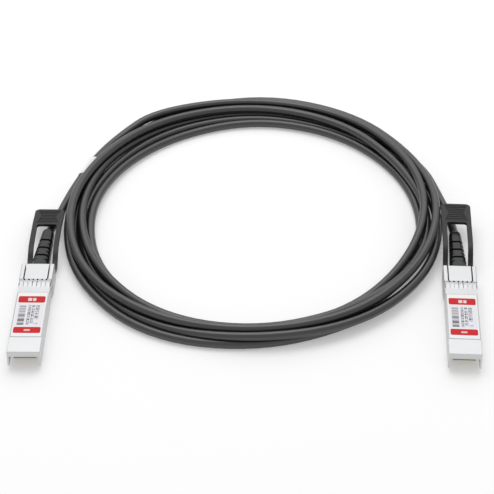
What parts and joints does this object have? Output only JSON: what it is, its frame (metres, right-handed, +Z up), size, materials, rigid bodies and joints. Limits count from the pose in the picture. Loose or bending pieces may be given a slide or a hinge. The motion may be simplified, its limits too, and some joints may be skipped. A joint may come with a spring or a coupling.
{
  "type": "direct attach copper cable",
  "caption": "Flexible twinaxial copper cable lying in a loose coil, with a latching metal plug, a ribbed bend relief and a pull tab at each end.",
  "frame": {"origin": "bottom centre of the bounding box of the two plugs with their boots and pull tabs", "axes": "+X from the left plug to the right plug, +Y from the mating ends towards the coil, +Z up from the table"},
  "size_m": [0.196, 0.2015, 0.011],
  "materials": {
    "shell_metal": "satin nickel-plated die-cast zinc",
    "spring_sheet": "thin stamped spring steel, satin",
    "card_laminate": "glass-fibre board, green solder mask",
    "contact_gold": "gold-plated copper",
    "chip_black": "moulded chip package",
    "core_insulation": "clear-white wire insulation",
    "ferrule_brass": "crimped brass, dull",
    "jacket_black": "charcoal-black cable jacket, satin",
    "boot_black": "soft moulded plastic, satin",
    "tab_black": "moulded pull tab, fine satin grain",
    "label_white": "printed label film, white with plain red bars",
    "wrap_white": "white wrap label"
  },
  "bodies": {
    "cable_and_shells": {"left_lower_housing": "shell_metal", "left_top_cover": "shell_metal", "left_emi_collar": "spring_sheet", "left_paddle_card": "card_laminate", "left_contact_pads": "contact_gold", "left_memory_chip": "chip_black", "left_twinax_cores": "core_insulation", "left_cable_end": "jacket_black", "left_crimp_ferrule": "ferrule_brass", "left_boot": "boot_black", "left_return_spring": "spring_sheet", "left_label": "label_white", "left_cover_screws": "shell_metal", "right_lower_housing": "shell_metal", "right_top_cover": "shell_metal", "right_emi_collar": "spring_sheet", "right_paddle_card": "card_laminate", "right_contact_pads": "contact_gold", "right_memory_chip": "chip_black", "right_twinax_cores": "core_insulation", "right_cable_end": "jacket_black", "right_crimp_ferrule": "ferrule_brass", "right_boot": "boot_black", "right_return_spring": "spring_sheet", "right_label": "label_white", "right_cover_screws": "shell_metal", "cable_lead_left": "jacket_black", "cable_coil": "jacket_black", "cable_lead_right": "jacket_black", "cable_marker": "wrap_white"},
    "left_latch": {"left_latch_slider": "spring_sheet", "left_pull_tab": "tab_black"},
    "right_latch": {"right_latch_slider": "spring_sheet", "right_pull_tab": "tab_black"}
  },
  "joints": [
    {"name": "left_latch_slide", "type": "slide", "parent": "cable_and_shells", "child": "left_latch", "axis": [0.0105, 0.9999, 0], "range_m": [0, 0.0018], "stiffness_N_per_m": 1500, "springref_m": -0.002},
    {"name": "right_latch_slide", "type": "slide", "parent": "cable_and_shells", "child": "right_latch", "axis": [0.0523, 0.9986, 0], "range_m": [0, 0.0018], "stiffness_N_per_m": 1500, "springref_m": -0.002}
  ]
}
